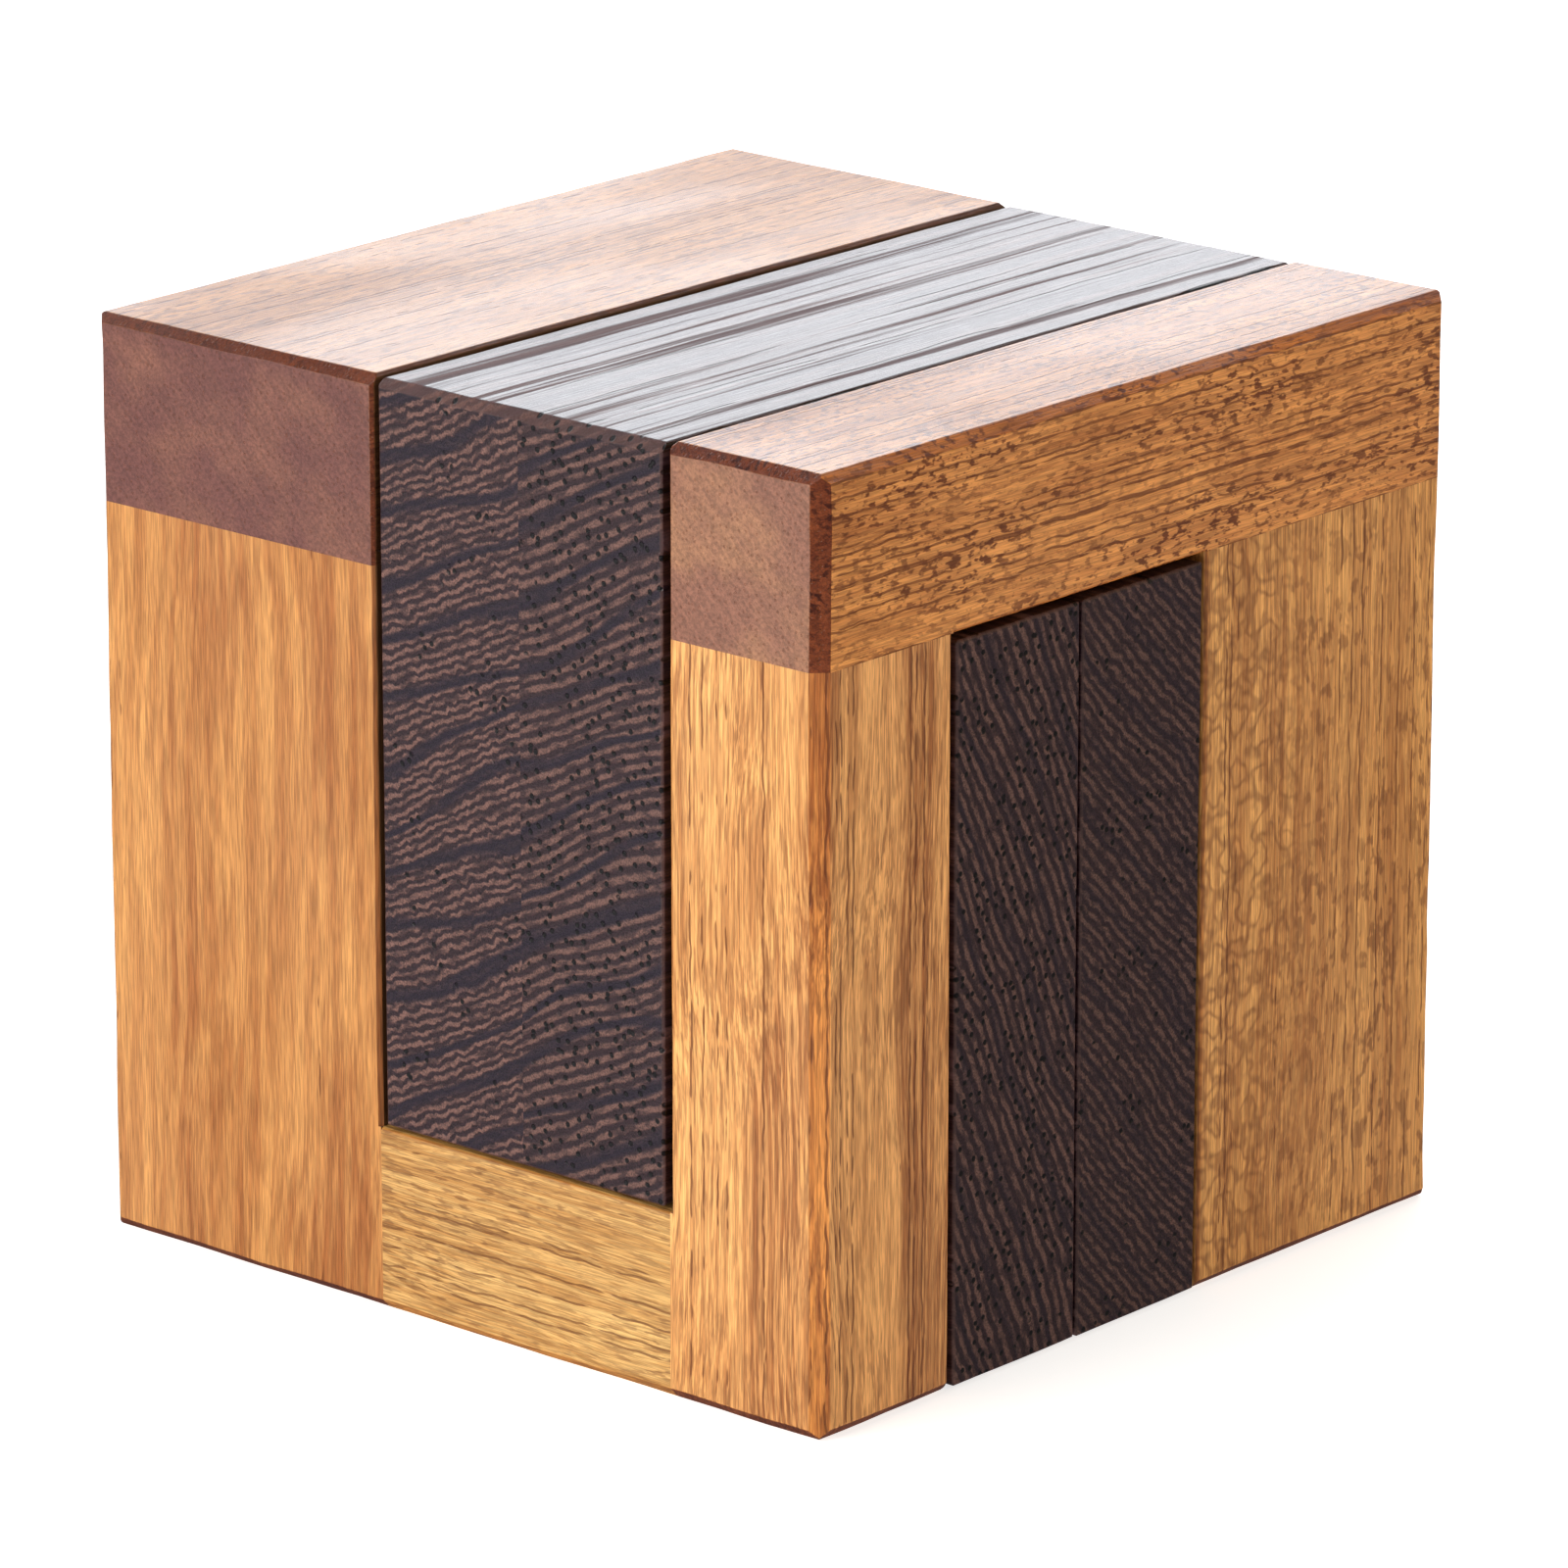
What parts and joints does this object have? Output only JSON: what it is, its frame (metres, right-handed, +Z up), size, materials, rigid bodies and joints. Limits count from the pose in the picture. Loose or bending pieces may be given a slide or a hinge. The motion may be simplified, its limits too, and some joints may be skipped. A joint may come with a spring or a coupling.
{
  "type": "wooden puzzle box",
  "caption": "Cube-shaped wooden puzzle box: a light wood cage around a dark straddling lift-off lid and dark slide boards over a hidden compartment.",
  "frame": {"origin": "middle of the cube's underside", "axes": "+Z up; X from left to right along the lid's boards; +Y from the front face, where the slide boards come out, to the rear"},
  "size_m": [0.075, 0.075, 0.075],
  "materials": {
    "light_wood": "oiled and satin, golden-orange with fine dark pores",
    "gold_wood": "oiled and satin, pale yellow-gold with fine dark pores",
    "red_gold_wood": "oiled and satin, red-gold with brown flecks",
    "dark_wood": "oiled and satin, violet-black with brown bands",
    "dowel_wood": "plain, unfinished",
    "magnet": "nickel plated"
  },
  "bodies": {
    "cage": {"top_rail_front": "light_wood", "top_rail_rear": "light_wood", "post_front_left": "gold_wood", "post_front_right": "red_gold_wood", "post_rear_left": "light_wood", "post_rear_right": "red_gold_wood", "bottom_rail_left": "gold_wood", "bottom_rail_right": "gold_wood", "post_dowels": "dowel_wood", "rail_dowels": "dowel_wood"},
    "lid": {"lid_board_front": "dark_wood", "lid_board_rear": "dark_wood", "lid_dowels": "dowel_wood", "lid_magnets": "magnet"},
    "left_slide": {"slide_board_left": "dark_wood", "slide_runner_left": "dowel_wood", "slide_magnet_left": "magnet"},
    "right_slide": {"slide_board_right": "dark_wood", "slide_runner_right": "dowel_wood", "slide_magnet_right": "magnet"}
  },
  "joints": [
    {"name": "lid_lift", "type": "slide", "parent": "cage", "child": "lid", "axis": [0, 0, 1], "range_m": [0, 0.065]},
    {"name": "left_board_slide", "type": "slide", "parent": "cage", "child": "left_slide", "axis": [0, -1, 0], "range_m": [0, 0.015]},
    {"name": "right_board_slide", "type": "slide", "parent": "cage", "child": "right_slide", "axis": [0, -1, 0], "range_m": [0, 0.015]}
  ]
}
